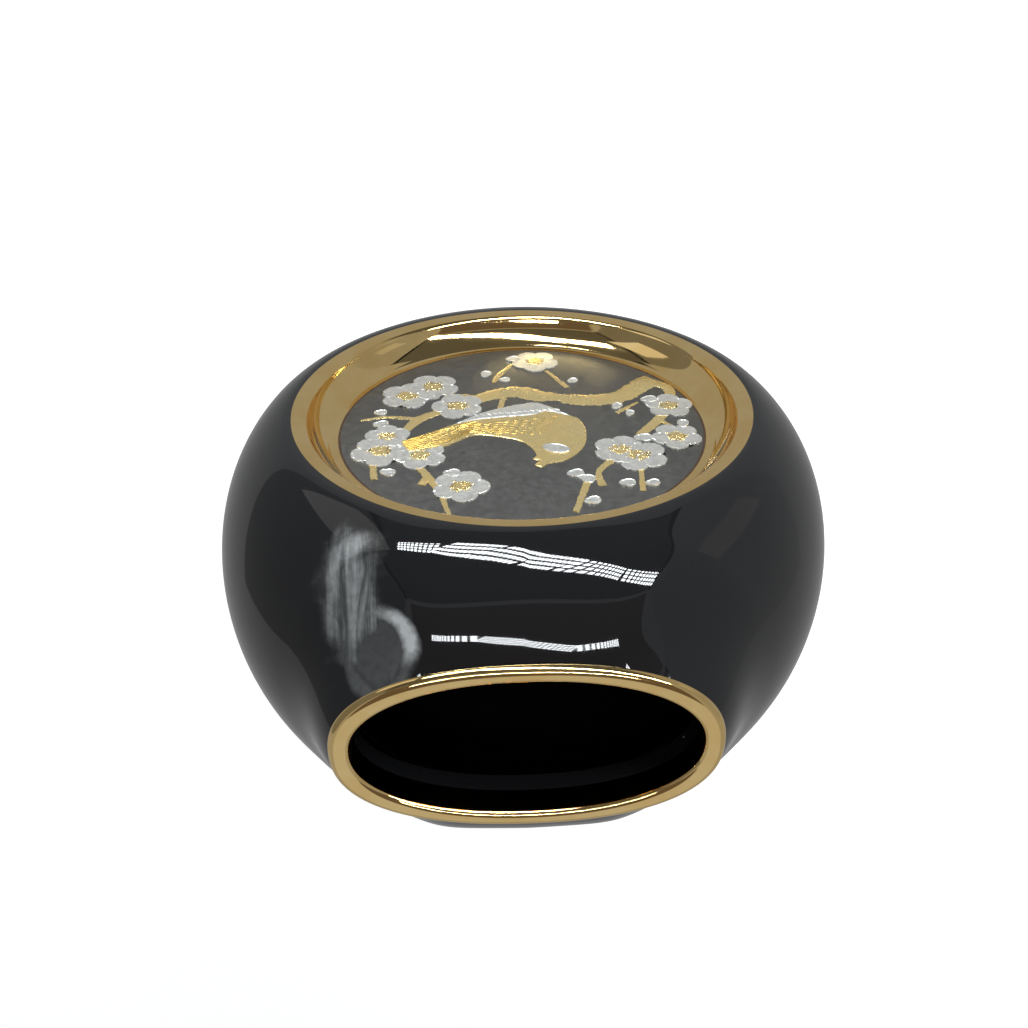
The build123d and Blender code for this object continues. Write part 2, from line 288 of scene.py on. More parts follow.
def arc_points(start, middle, end, count):
    """Points along the circular arc through three points."""
    (ax, ay), (bx, by), (cx, cy) = start, middle, end
    a, b, c = ax * ax + ay * ay, bx * bx + by * by, cx * cx + cy * cy
    d = 2 * (ax * (by - cy) + bx * (cy - ay) + cx * (ay - by))
    ux = (a * (by - cy) + b * (cy - ay) + c * (ay - by)) / d
    uy = (a * (cx - bx) + b * (ax - cx) + c * (bx - ax)) / d
    radius = math.hypot(ax - ux, ay - uy)
    first = math.atan2(ay - uy, ax - ux)
    mid = math.atan2(by - uy, bx - ux)
    last = math.atan2(cy - uy, cx - ux)
    full = (last - first) % (2 * math.pi)
    if (mid - first) % (2 * math.pi) > full:
        full -= 2 * math.pi
    turns = [first + full * step / (count - 1) for step in range(count)]
    return [(ux + radius * math.cos(turn), uy + radius * math.sin(turn)) for turn in turns]


def dish_profile():
    """The lustre's face from the broad lip, down the hollow wall and along the ledge to the seat."""
    turns = [(LIP_RADIUS, 0.0), LIP_CREST, DISH_WALL_TOP, DISH_WALL_FOOT, (LEDGE_RADIUS, DISH_DEPTH)]
    hollows = (-LIP_BULGE, -TURN_BULGE, WALL_HOLLOW, BEND_HOLLOW)
    points = [turns[0]]
    for start, end, hollow, count in zip(turns, turns[1:], hollows, (7, 10, 22, 9)):
        run = Vector(end) - Vector(start)
        below = Vector((run.y, -run.x)).normalized() * hollow
        middle = (Vector(start) + Vector(end)) / 2 + below
        points += arc_points(start, tuple(middle), end, count)[1:]
    return points + [((LEDGE_RADIUS + SEAT_RADIUS) / 2, DISH_DEPTH), (SEAT_RADIUS, DISH_DEPTH)]


def sunk(profile, amount):
    """The profile moved into the ceramic, and outward where it is steep, to lie under the lustre."""
    moved = []
    for radius, depth in profile:
        share = min(depth / DISH_WALL_TOP[1], 1)
        moved.append((radius + 0.7 * amount * share, depth + amount * (1 - 0.3 * share)))
    return moved


# ---- materials ----

GLAZE_BLACK = (0.0055, 0.0057, 0.0063)
GREASE_GREY = (0.24, 0.25, 0.25)
SMEAR_PLACE = (29.2, -22.4, 105.6)   # a dragged fingertip, brightest where it started
SMEAR_REACH = (6.6, 11.0, 9.5)
EDGE_PLACE = (27.6, -27.0, 100.6)
EDGE_REACH = (6.4, 5.0, 2.6)
PRINT_PLACE = (24.2, -17.6, 114.2)   # a round fingerprint, stronger on one side
PRINT_REACH = (5.6, 6.4, 6.4)
PRINT_SIDE = (20.0, -20.5, 113.4)
GLAZE_INDEX = 1.5
SILVER_PALE = (0.88, 0.88, 0.84)
SILVER_DEEP = (0.72, 0.73, 0.70)
GROUND_PALE = (0.19, 0.192, 0.185)
GROUND_DEEP = (0.165, 0.167, 0.162)
PIT_BLACK = (0.02, 0.02, 0.02)
GLUE_BROWN = (0.05, 0.022, 0.008)
GLUE_DARK = (0.02, 0.01, 0.004)
PLATING_METALLIC = 0.93   # satin plating scatters a little light like a dull surface
FLOOR_GLOW = 0.62


class Nodes:
    """A material under construction: its node tree and the Principled shader at its end."""

    def __init__(self, name):
        self.material = bpy.data.materials.new(name)
        self.material.use_nodes = True
        self.tree = self.material.node_tree
        self.tree.nodes.clear()
        output = self.add("ShaderNodeOutputMaterial")
        self.shader = self.add("ShaderNodeBsdfPrincipled")
        self.link(self.shader.outputs["BSDF"], output.inputs["Surface"])
        self.place = self.add("ShaderNodeTexCoord").outputs["Object"]

    def add(self, kind, **settings):
        node = self.tree.nodes.new(kind)
        for key, value in settings.items():
            setattr(node, key, value)
        return node

    def link(self, start, end):
        self.tree.links.new(start, end)

    def constant(self, **values):
        """Numbers and colours set straight on the shader's sockets."""
        for key, value in values.items():
            self.shader.inputs[key.replace("_", " ")].default_value = value

    def noise(self, scale, detail=3.0, roughness=0.5, stretch=None, distortion=0.0):
        """Noise from 0 to 1 in the object's own space; scale is in repeats per metre."""
        node = self.add("ShaderNodeTexNoise")
        node.inputs["Scale"].default_value = scale
        node.inputs["Detail"].default_value = detail
        node.inputs["Roughness"].default_value = roughness
        node.inputs["Distortion"].default_value = distortion
        source = self.place
        if stretch:
            mapping = self.add("ShaderNodeMapping")
            mapping.inputs["Scale"].default_value = stretch
            self.link(source, mapping.inputs["Vector"])
            source = mapping.outputs["Vector"]
        self.link(source, node.inputs["Vector"])
        return node.outputs["Fac"]

    def cells(self, scale):
        """Distance to the nearest of many scattered points, in shares of their spacing."""
        node = self.add("ShaderNodeTexVoronoi", feature="F1")
        node.inputs["Scale"].default_value = scale
        self.link(self.place, node.inputs["Vector"])
        return node.outputs["Distance"]

    def spread(self, value, low, high, to_low=0.0, to_high=1.0):
        """A value eased from one range to another; low may be above high."""
        node = self.add("ShaderNodeMapRange", interpolation_type="SMOOTHSTEP")
        for socket, number in zip(("From Min", "From Max", "To Min", "To Max"), (low, high, to_low, to_high)):
            node.inputs[socket].default_value = number
        self.link(value, node.inputs["Value"])
        return node.outputs["Result"]

    def math(self, operation, first, second):
        """A sum on two sockets or numbers."""
        node = self.add("ShaderNodeMath", operation=operation)
        for socket, value in zip(node.inputs, (first, second)):
            if isinstance(value, (int, float)):
                socket.default_value = value
            else:
                self.link(value, socket)
        return node.outputs["Value"]

    def blend(self, factor, first, second):
        """A colour between two colours or sockets."""
        node = self.add("ShaderNodeMix", data_type="RGBA")
        for socket, value in zip((node.inputs[0], node.inputs[6], node.inputs[7]), (factor, first, second)):
            if isinstance(value, tuple):
                socket.default_value = (*value, 1)
            else:
                self.link(value, socket)
        return node.outputs[2]

    def bump(self, height, distance, strength=1.0, below=None):
        """Normals over a height, in millimetres, on top of other normals if given."""
        node = self.add("ShaderNodeBump")
        node.inputs["Strength"].default_value = strength
        node.inputs["Distance"].default_value = distance * MM
        self.link(height, node.inputs["Height"])
        if below is not None:
            self.link(below, node.inputs["Normal"])
        return node.outputs["Normal"]

    def use(self, **sockets):
        """Textures joined to the shader's sockets."""
        for key, value in sockets.items():
            self.link(value, self.shader.inputs[key.replace("_", " ")])

    def near(self, centre, reach):
        """Distance from a point as a share of a reach along each axis, both in millimetres."""
        shift = self.add("ShaderNodeVectorMath", operation="SUBTRACT")
        self.link(self.place, shift.inputs[0])
        shift.inputs[1].default_value = Vector(centre) * MM
        shrink = self.add("ShaderNodeVectorMath", operation="DIVIDE")
        self.link(shift.outputs["Vector"], shrink.inputs[0])
        shrink.inputs[1].default_value = Vector(reach) * MM
        length = self.add("ShaderNodeVectorMath", operation="LENGTH")
        self.link(shrink.outputs["Vector"], length.inputs[0])
        return length.outputs["Value"]


def make_glaze():
    """Black glaze, glossy, with a hand's greasy smears near the mouth and a few specks of dust."""
    m = Nodes("black_glaze")
    drag = m.noise(190, 4, 0.6, (3.0, 0.35, 0.35), 0.6)
    mottle = m.noise(900, 3, 0.6)
    blot = m.math("MULTIPLY", m.math("SUBTRACT", m.noise(130, 4, 0.6), 0.5), 1.5)
    place = m.math("ADD", m.near(SMEAR_PLACE, SMEAR_REACH), blot)
    edge = m.math("ADD", m.near(EDGE_PLACE, EDGE_REACH), blot)
    smear = m.math("MULTIPLY", m.spread(place, 1.1, 0.35), m.spread(drag, 0.34, 0.66, 0.12, 0.62))
    start = m.math("MULTIPLY", m.spread(edge, 1.1, 0.1), m.spread(drag, 0.3, 0.7, 0.35, 0.95))
    smear = m.math("MAXIMUM", smear, start)
    ring = m.math("ADD", m.near(PRINT_PLACE, PRINT_REACH), m.math("MULTIPLY", blot, 0.35))
    side = m.math("ADD", m.near(PRINT_SIDE, PRINT_REACH), blot)
    band = m.math("MULTIPLY", m.spread(ring, 0.62, 0.92), m.spread(ring, 1.25, 0.98))
    strength = m.math("ADD", m.math("MULTIPLY", m.spread(side, 1.05, 0.2), 1.1), 0.16)
    middle = m.math("MULTIPLY", m.spread(ring, 1.05, 0.6), 0.12)
    touch = m.math("MAXIMUM", m.math("MULTIPLY", band, strength), middle)
    grease = m.math("MULTIPLY", m.math("MAXIMUM", smear, touch), m.spread(mottle, 0.25, 0.75, 0.7, 1.0))
    speck = m.spread(m.cells(130), 0.028, 0.018)
    dust = m.math("MULTIPLY", speck, m.spread(m.noise(90, 2), 0.58, 0.62))
    film = m.math("MAXIMUM", grease, m.math("MULTIPLY", dust, 0.8))
    wear = m.spread(m.noise(75, 4, 0.6), 0.45, 0.75, 0.0, 1.0)
    rough = m.math("ADD", m.math("MULTIPLY", grease, 0.3), m.math("MULTIPLY", wear, 0.02))
    m.use(
        Base_Color=m.blend(film, GLAZE_BLACK, GREASE_GREY),
        Roughness=m.math("ADD", rough, 0.03),
        Normal=m.bump(m.noise(38, 2, 0.4), 0.16, 0.5),
    )
    m.constant(IOR=GLAZE_INDEX)
    return m.material


def make_gold(name, pale, deep, rough_low, rough_high, ripple, grain, metallic=1.0):
    """Gold, from mirror-bright lustre to satin plating."""
    m = Nodes(name)
    tone = m.spread(m.noise(120, 4, 0.6), 0.3, 0.7)
    scuffs = m.spread(m.noise(900, 3, 0.7, (1, 0.25, 1)), 0.5, 0.8)
    dull = m.math("MULTIPLY", tone, rough_high - rough_low)
    rough = m.math("ADD", dull, m.math("MULTIPLY", scuffs, rough_low))
    waves = m.bump(m.noise(70, 2, 0.4), ripple, 0.6)
    m.use(
        Base_Color=m.blend(tone, pale, deep),
        Roughness=m.math("ADD", rough, rough_low),
        Normal=m.bump(m.noise(2600, 2, 0.6), grain, 0.4, waves),
    )
    m.constant(Metallic=metallic)
    return m.material


def make_silver(name):
    """Satin silver plating with a fine brushed grain."""
    m = Nodes(name)
    tone = m.spread(m.noise(700, 4, 0.7), 0.3, 0.7)
    m.use(
        Base_Color=m.blend(tone, SILVER_PALE, SILVER_DEEP),
        Roughness=m.spread(m.noise(1500, 3, 0.6), 0.3, 0.7, 0.3, 0.46),
        Normal=m.bump(m.noise(4200, 2, 0.6, (0.3, 1, 1)), 0.02, 0.5),
    )
    m.constant(Metallic=PLATING_METALLIC)
    return m.material


def make_ground():
    """Dark etched metal behind the drawing, with a matt grain and small pits."""
    m = Nodes("plaque_ground")
    tone = m.spread(m.noise(55, 5, 0.6), 0.3, 0.7)
    pit = m.spread(m.cells(260), 0.09, 0.05)
    pit = m.math("MULTIPLY", pit, m.spread(m.noise(170, 2), 0.6, 0.63))
    m.use(
        Base_Color=m.blend(pit, m.blend(tone, GROUND_PALE, GROUND_DEEP), PIT_BLACK),
        Roughness=m.spread(m.noise(800, 3, 0.6), 0.3, 0.7, 0.42, 0.54),
        Normal=m.bump(m.noise(3800, 2, 0.7), 0.02, 0.5),
    )
    m.constant(Metallic=1.0)
    return m.material


def make_glue():
    """Dark brown glue, uneven where it squeezed out."""
    m = Nodes("glue_film")
    m.use(
        Base_Color=m.blend(m.noise(300, 3), GLUE_BROWN, GLUE_DARK),
        Roughness=m.spread(m.noise(500, 3), 0.3, 0.7, 0.35, 0.6),
        Normal=m.bump(m.noise(600, 2), 0.05, 0.4),
    )
    return m.material


def make_floor():
    """White matt floor that glows a little, as if lit by a wide soft light."""
    m = Nodes("floor_white")
    tone = m.spread(m.noise(3, 2), 0.3, 0.7)
    m.use(
        Base_Color=m.blend(tone, (0.84, 0.84, 0.84), (0.80, 0.80, 0.80)),
        Roughness=m.spread(tone, 0.0, 1.0, 0.6, 0.8),
    )
    m.constant(Emission_Color=(1, 1, 1, 1), Emission_Strength=FLOOR_GLOW)
    return m.material


glaze = make_glaze()
gold = make_gold("gold_lustre", (0.95, 0.71, 0.33), (0.88, 0.62, 0.25), 0.03, 0.09, 0.12, 0.004)
gold_plate = make_gold("gold_plate", (0.95, 0.77, 0.37), (0.86, 0.66, 0.29), 0.2, 0.36, 0.03, 0.02,
                       PLATING_METALLIC)
gold_bright = make_gold("gold_bright", (1.0, 0.84, 0.46), (0.95, 0.76, 0.36), 0.1, 0.2, 0.02, 0.01)
silver_plate = make_silver("silver_plate")
ground = make_ground()
glue = make_glue()


# ---- body ----

def loop_at(mesh, height):
    """Open edges that lie at a height."""
    return [edge for edge in mesh.edges
            if len(edge.link_faces) == 1 and all(abs(v.co.z - height * MM) < 1e-7 for v in edge.verts)]


def fill_level(mesh, height):
    """Fills the level ring or disc that the open edges at a height leave."""
    edges = loop_at(mesh, height)
    bmesh.ops.triangle_fill(mesh, edges=edges, use_beauty=True, normal=(0, 0, 1))


def cut_level(mesh, height, upward):
    """Cuts away what lies above a height, or below it."""
    geometry = mesh.verts[:] + mesh.edges[:] + mesh.faces[:]
    bmesh.ops.bisect_plane(mesh, geom=geometry, plane_co=(0, 0, height * MM), dist=1e-8,
                           plane_no=(0, 0, 1 if upward else -1), clear_outer=True)


def build_body():
    bearings = np.linspace(0, 2 * math.pi, BEARINGS, endpoint=False)
    angles = np.linspace(0, 2 * math.pi, 480, endpoint=False)
    under = sunk(dish_profile(), LUSTRE)
    body = bmesh.new()
    front = [(0.5 * SEAT_RADIUS, SEAT_DEPTH), (SEAT_RADIUS, SEAT_DEPTH), (SEAT_RADIUS, under[-1][1])]
    front += under[:0:-1] + [(LIP_RADIUS, LUSTRE), (LIP_RADIUS, 0.0), ((LIP_RADIUS + FACE_RADIUS) / 2, 0.0)]
    rings = [front_ring(radius, depth, bearings) for radius, depth in front]
    rings += pillow_rings(bearings)
    rings += [front_ring(radius, 2 * HALF_DEPTH, bearings) for radius in (35, 20, 8)]
    add_rings(body, rings, start_pole=(0, -HALF_DEPTH + SEAT_DEPTH, AXIS_HEIGHT),
              end_pole=(0, HALF_DEPTH, AXIS_HEIGHT))
    cut_level(body, RIM_BASE, True)
    cut_level(body, 0, False)

    foot = level_points(plain_reach(angles, 0) - FOOT_RING_WIDTH, angles)
    add_rings(body, [at_height(foot, 0), at_height(foot, FOOT_HOLLOW)])
    fill_level(body, 0)
    fill_level(body, FOOT_HOLLOW)

    rim = rim_rings(angles, LUSTRE)
    oval = level_points(mouth_reach(angles), angles, MOUTH_LEAN)
    throat = [at_height(oval, SLEEVE_BOTTOM), at_height(oval, HOLLOW_TOP)]
    add_rings(body, rim + throat)
    fill_level(body, RIM_BASE)

    hollow = bmesh.new()
    backing = [(0.5 * SEAT_RADIUS, SEAT_DEPTH + SEAT_WALL), (SEAT_RADIUS + WALL, SEAT_DEPTH + SEAT_WALL),
               (FACE_RADIUS + 0.3, BACKING_EDGE)]
    rings = [front_ring(radius, depth, bearings) for radius, depth in backing]
    rings += pillow_rings(bearings, WALL, 49, -(HALF_DEPTH - BACKING_EDGE - 0.2) / (HALF_DEPTH - WALL))
    rings += [front_ring(20, 2 * HALF_DEPTH - WALL, bearings)]
    add_rings(hollow, rings, start_pole=(0, -HALF_DEPTH + SEAT_DEPTH + SEAT_WALL, AXIS_HEIGHT),
              end_pole=(0, HALF_DEPTH - WALL, AXIS_HEIGHT))
    cut_level(hollow, HOLLOW_TOP, True)
    cut_level(hollow, FLOOR_THICKNESS, False)
    fill_level(hollow, FLOOR_THICKNESS)
    spare = bpy.data.meshes.new("hollow")
    hollow.to_mesh(spare)
    hollow.free()
    body.from_mesh(spare)
    bpy.data.meshes.remove(spare)
    fill_level(body, HOLLOW_TOP)
    return finish_piece(body, "glazed_pot", glaze, ["vase_body"])


def build_mouth():
    angles = np.linspace(0, 2 * math.pi, 480, endpoint=False)
    mouth = bmesh.new()
    add_rings(mouth, rim_rings(angles) + rim_rings(angles, LUSTRE)[::-1], closed=True)
    return finish_piece(mouth, "gilded_mouth", gold, ["mouth_lustre"])


def build_dish():
    bearings = np.linspace(0, 2 * math.pi, BEARINGS, endpoint=False)
    face = dish_profile()
    under = sunk(face, LUSTRE)
    corner = [(SEAT_RADIUS, under[-1][1])]
    rings = [front_ring(radius, depth, bearings) for radius, depth in face + corner + under[::-1]]
    dish = bmesh.new()
    add_rings(dish, rings, closed=True)
    return finish_piece(dish, "gilded_dish", gold, ["dish_lustre"])


def build_plaque():
    bearings = np.linspace(0, 2 * math.pi, 360, endpoint=False)
    back = DISH_DEPTH + PLAQUE_THICKNESS
    section = [(share * PLAQUE_RADIUS, DISH_DEPTH) for share in (0.35, 0.7, 0.97, 0.99)]
    section += [(PLAQUE_RADIUS - PLAQUE_CHAMFER, DISH_DEPTH), (PLAQUE_RADIUS, DISH_DEPTH + PLAQUE_CHAMFER),
                (PLAQUE_RADIUS, back), (0.5 * PLAQUE_RADIUS, back)]
    plaque = bmesh.new()
    add_rings(plaque, [front_ring(radius, depth, bearings) for radius, depth in section],
              start_pole=(0, PLAQUE_Y, AXIS_HEIGHT), end_pole=(0, PLAQUE_Y + PLAQUE_THICKNESS, AXIS_HEIGHT))
    return finish_piece(plaque, "medallion_ground", ground, ["plaque_disc"])


def build_glue_line():
    """Glue squeezed out between the plaque's edge and the dish."""
    bearings = np.linspace(0, 2 * math.pi, 360, endpoint=False)
    inner = PLAQUE_RADIUS - GLUE_LAP
    outer = SEAT_RADIUS + GLUE_LAP / 2
    crown = PLAQUE_RADIUS + GLUE_LAP
    section = [(inner, GLUE_DEPTH), (inner, 0.02), (crown, -GLUE_CROWN), (outer, 0.02), (outer, GLUE_DEPTH)]
    rings = [front_ring(radius, DISH_DEPTH + depth, bearings) for radius, depth in section]
    bead = bmesh.new()
    add_rings(bead, rings, closed=True)
    return finish_piece(bead, "glue_line", glue)


# ---- drawing on the plaque: (across, up) from its centre, rises above the plaque ----

BLOSSOMS = [  # across, up, radius, turn in degrees
    (17.9, -18.6, 5.5, 10), (22.8, -14.9, 5.5, 40), (12.7, -9.9, 5.2, 0), (26.9, 7.2, 5.5, 20),
    (25.8, 1.7, 4.4, 60), (19.4, 9.1, 5.0, 5), (11.8, 20.3, 5.2, 30), (-3.5, -29.3, 4.9, 15),
    (-28.8, -7.8, 4.8, 50), (-28.4, 4.6, 4.8, 12), (-17.3, 8.9, 5.0, 33), (-20.4, 11.2, 5.5, 0),
]
BUDS = [  # across, up, half length, turn in degrees
    (1.2, -31.0, 1.6, 20), (7.0, -24.0, 1.5, 70), (3.1, -21.1, 1.2, 0), (-10.8, -20.0, 1.2, 30),
    (27.7, -8.1, 1.4, 0), (27.3, -3.3, 1.7, 10), (24.9, 14.9, 1.6, -20), (13.4, 15.7, 1.7, 0),
    (-25.3, -10.8, 1.8, 10), (-18.6, -8.3, 1.4, 50), (-20.8, -5.3, 1.2, 60), (-30.4, -0.4, 1.6, 80),
    (-22.2, 4.7, 1.9, 0), (-8.6, 16.9, 1.7, 10), (-10.4, 18.8, 1.8, -30), (-10.8, 26.0, 1.6, 15),
    (-17.4, 20.6, 1.6, 0), (-21.8, 20.8, 1.4, 10),
]
MAIN_BRANCH = [  # across, up, width
    (15.5, -14.6, 1.2), (12.0, -14.3, 1.8), (9.0, -13.0, 3.2), (5.0, -14.8, 4.4), (0.6, -15.6, 4.7),
    (-3.4, -13.6, 4.6), (-7.2, -12.8, 3.2), (-10.2, -11.7, 4.4), (-15.2, -11.2, 4.9), (-19.8, -12.5, 4.6),
    (-23.0, -15.5, 5.0), (-25.6, -18.2, 5.0), (-27.2, -19.6, 4.2),
]
TWIGS = [
    [(-26.6, -18.6, 2.6), (-29.6, -15.8, 2.4), (-29.8, -11.4, 2.0)],
    [(31.5, -5.0, 0.5), (26.5, -6.2, 0.8), (20.6, -5.2, 1.1)],
    [(22.9, 0.2, 1.6), (20.4, -4.6, 2.3), (16.4, -7.8, 2.0)],
    [(27.9, 11.0, 1.3), (27.2, 17.1, 1.3)],
    [(19.8, 12.6, 1.3), (17.5, 17.0, 1.6), (15.5, 22.0, 1.2), (13.7, 29.2, 0.8)],
    [(17.6, 16.0, 1.2), (18.8, 19.4, 1.6)],
    [(16.2, 18.3, 1.0), (12.8, 18.8, 0.7)],
    [(-27.0, -4.0, 2.0), (-24.8, -0.6, 2.1), (-21.6, 3.6, 1.8)],
    [(-25.8, -2.6, 1.1), (-28.2, 0.6, 0.7)],
    [(-15.4, 12.6, 1.5), (-12.7, 16.6, 1.2), (-12.9, 21.1, 1.5)],
    [(-20.3, 16.2, 0.9), (-19.7, 23.3, 1.1)],
    [(-10.4, 19.8, 1.4), (-7.6, 29.4, 1.1)],
    [(-2.0, -34.0, 1.2), (-1.8, -31.5, 1.1)],
    [(1.4, -28.4, 0.7), (4.3, -23.4, 1.3), (5.4, -20.0, 0.8)],
    [(-5.6, -24.8, 0.7), (-9.4, -17.0, 1.1)],
    [(-18.2, -5.4, 1.1), (-22.8, -9.6, 0.6)],
    [(3.6, -13.0, 1.2), (4.6, -7.6, 1.0)],
]
BIRD_BACK = [(22.2, 7.4), (18.6, 7.3), (15.2, 6.0), (12.2, 4.0), (9.2, 2.0), (4.6, 3.0), (1.4, 4.4),
             (-0.4, 6.2), (-1.6, 8.6), (-1.9, 10.4)]
BIRD_BEAK = [(-1.2, 11.6), (-2.4, 12.2), (-1.4, 13.6), (-2.6, 14.4), (-4.0, 13.2)]
BIRD_BREAST = [(-6.9, 12.3), (-9.4, 9.9), (-11.2, 6.2), (-11.7, 1.6), (-11.2, -2.0), (-10.2, -4.0)]
BIRD_FLANK = [(-5.0, -6.6), (-1.8, -5.4), (3.5, -4.8), (9.0, -3.9), (13.4, -2.4), (18.6, 1.2), (23.4, 4.1)]
BIRD_BELLY = [(13.2, -2.6), (9.8, -5.4), (7.6, -7.0), (3.0, -9.1), (-2.4, -10.5), (-5.2, -8.8),
              (-7.6, -6.4), (-9.8, -4.1)]
CHEEK = (-5.6, 8.3, 2.6, 1.6, -20)   # across, up, half length, half width, turn in degrees
FEATHER_ROWS = 9
TAIL_LINES = 8
TAIL_START = 9.5      # where the wing's scalloped rows end and the tail's grooves begin
WING_START = -5.0
FRINGE_MARKS = 14     # short silver strokes along the belly's upper edge
GRAINS = 46           # stamens in each blossom

DRAWING_PLACE = (-0.4, 0.9)   # the drawing sits a little off the plaque's centre
BRANCH_RISE = 0.15
PETAL_RISE = 0.21
BIRD_RISE = 0.25
LINE_RISE = 0.45
EDGE_RISE = 0.1       # height of the bird's edge, from which its back and breast swell
BIRD_SWELL = 0.12
TAIL_GROOVE = 0.035
WING_STEP = 0.045
BELLY_RIB = 0.02
RANDOM_SEED = 11


def on_plaque(across, up, rise):
    return Vector((across + DRAWING_PLACE[0], PLAQUE_Y - rise, AXIS_HEIGHT + up + DRAWING_PLACE[1])) * MM


def smooth_line(points, step):
    """Points along a rounded line through the given ones; any further values are blended too."""
    data = np.array(points, float)
    data = np.vstack([2 * data[0] - data[1], data, 2 * data[-1] - data[-2]])
    out = []
    for index in range(1, len(data) - 2):
        a, b, c, d = data[index - 1:index + 3]
        count = max(int(np.linalg.norm((c - b)[:2]) / step), 1)
        for part in range(count):
            t = part / count
            out.append(0.5 * (2 * b + (c - a) * t + (2 * a - 5 * b + 4 * c - d) * t * t
                              + (3 * b - a - 3 * c + d) * t ** 3))
    out.append(data[-2])
    return np.array(out)


def add_loops(mesh, loops):
    """Closed loops of vertices joined in order, with the first and last filled flat."""
    count = len(loops[0])
    for lower, upper in zip(loops, loops[1:]):
        for step in range(count):
            after = (step + 1) % count
            mesh.faces.new((lower[step], lower[after], upper[after], upper[step]))
    caps = [mesh.faces.new(loops[0][::-1]), mesh.faces.new(loops[-1])]
    bmesh.ops.triangulate(mesh, faces=caps)


def sideways(along):
    """Unit directions a quarter turn to the left of the given ones."""
    side = np.stack([-along[:, 1], along[:, 0]], 1)
    return side / np.maximum(np.linalg.norm(side, axis=1, keepdims=True), 1e-6)


def add_plate(mesh, outline, rise, bevel=0.09):
    """Flat plate with a chamfered edge."""
    outline = np.array(outline)
    turning = np.cross(outline, np.roll(outline, -1, 0)).sum()
    side = sideways(np.roll(outline, -1, 0) - np.roll(outline, 1, 0)) * (1 if turning > 0 else -1)
    loops = []
    for inset, height in ((0, 0), (0, rise - bevel), (bevel, rise)):
        loops.append([mesh.verts.new(on_plaque(x, z, height)) for x, z in outline + side * inset])
    add_loops(mesh, loops)


def edge_distance(points, outline):
    """Distance from each point to the nearest side of a closed outline."""
    starts = np.array(outline)
    sides = np.roll(starts, -1, 0) - starts
    gaps = np.asarray(points)[:, None] - starts
    share = (gaps * sides).sum(2) / np.maximum((sides ** 2).sum(1), 1e-9)
    return np.linalg.norm(gaps - np.clip(share, 0, 1)[..., None] * sides, axis=2).min(1)


def add_relief(mesh, outline, height, pitch=0.22):
    """Solid over an outline whose top follows height(across, up, distance from the edge)."""
    low, high = np.min(outline, 0), np.max(outline, 0)
    rows = []
    for number, up in enumerate(np.arange(low[1], high[1], pitch * 0.87)):
        rows += [(across + pitch / 2 * (number % 2), up) for across in np.arange(low[0], high[0], pitch)]
    rows = np.array(rows)[inside(rows, outline)]
    grid = [tuple(point) for point, away in zip(rows, edge_distance(rows, outline)) if away > 0.45 * pitch]
    points = [Vector(point) for point in list(outline) + grid]
    spots, _, faces, *_ = delaunay_2d_cdt(points, [], [list(range(len(outline)))], 1, 1e-5)
    away = edge_distance([tuple(spot) for spot in spots], outline)
    rises = [height(spot.x, spot.y, gap) for spot, gap in zip(spots, away)]
    top = [mesh.verts.new(on_plaque(spot.x, spot.y, rise)) for spot, rise in zip(spots, rises)]
    bottom = [mesh.verts.new(on_plaque(spot.x, spot.y, 0)) for spot in spots]
    for face in faces:
        mesh.faces.new([top[corner] for corner in face])
        mesh.faces.new([bottom[corner] for corner in reversed(face)])
    sides = {side: True for face in faces for side in zip(face, face[1:] + face[:1])}
    for start, end in sides:
        if (end, start) not in sides:
            mesh.faces.new((top[end], top[start], bottom[start], bottom[end]))


def rounded(gap, rise, reach):
    """Height of a cushion-like edge at a distance in from it."""
    share = min(gap / reach, 1)
    return rise * math.sqrt(1 - (1 - share) ** 2)


def bird_height(x, z, gap):
    """The bird's relief: a soft body, with grooves down the tail and scalloped rows on the wing."""
    height = EDGE_RISE + rounded(gap, BIRD_RISE - EDGE_RISE, 0.5) + BIRD_SWELL * min(gap / 4, 1)
    if x > TAIL_START:
        share = (z - (0.62 * x - 8.6)) / 4.6
        height += TAIL_GROOVE * math.cos(2 * math.pi * TAIL_LINES * share) * min((x - TAIL_START) / 2, 1)
    elif x > WING_START:
        along = (x - WING_START) / (TAIL_START - WING_START) * FEATHER_ROWS
        across = (z + 0.12 * x) / 1.25 + 0.5 * (int(along) % 2)
        scallop = abs(math.cos(math.pi * across)) ** 0.5 * min((x - WING_START) / 2, 1)
        height += WING_STEP * (along % 1 - 0.5) * scallop
    return height


def belly_height(x, z, gap):
    """Soft fluffed feathers, finely ribbed."""
    ribs = BELLY_RIB * math.sin(5.2 * x + 2.4 * z) * math.cos(3.1 * z)
    return EDGE_RISE + rounded(gap, BIRD_RISE - EDGE_RISE, 0.4) + ribs


def add_stroke(mesh, points, rise, roughness=0.0, step=0.35):
    """Rounded ridge along points that each carry a width; roughness is the unevenness of its edges."""
    line = smooth_line(points, step)
    side = sideways(np.gradient(line[:, :2], axis=0))
    section = [(-1, 0), (-0.92, 0.6), (-0.6, 0.93), (0, 1), (0.6, 0.93), (0.92, 0.6), (1, 0)]
    rings = []
    for (x, z, width), (sx, sz) in zip(line, side):
        left = width / 2 + random.uniform(-roughness, roughness)
        right = width / 2 + random.uniform(-roughness, roughness)
        top = rise * random.uniform(1 - 0.6 * roughness, 1)
        ring = []
        for across, height in section:
            reach = across * (right if across > 0 else left)
            ring.append(mesh.verts.new(on_plaque(x + sx * reach, z + sz * reach, height * top)))
        rings.append(ring)
    for here, there in zip(rings, rings[1:]):
        for side_step in range(len(section) - 1):
            after = side_step + 1
            mesh.faces.new((here[side_step], here[after], there[after], there[side_step]))
        mesh.faces.new((here[0], there[0], there[-1], here[-1]))
    mesh.faces.new(rings[0])
    mesh.faces.new(rings[-1][::-1])


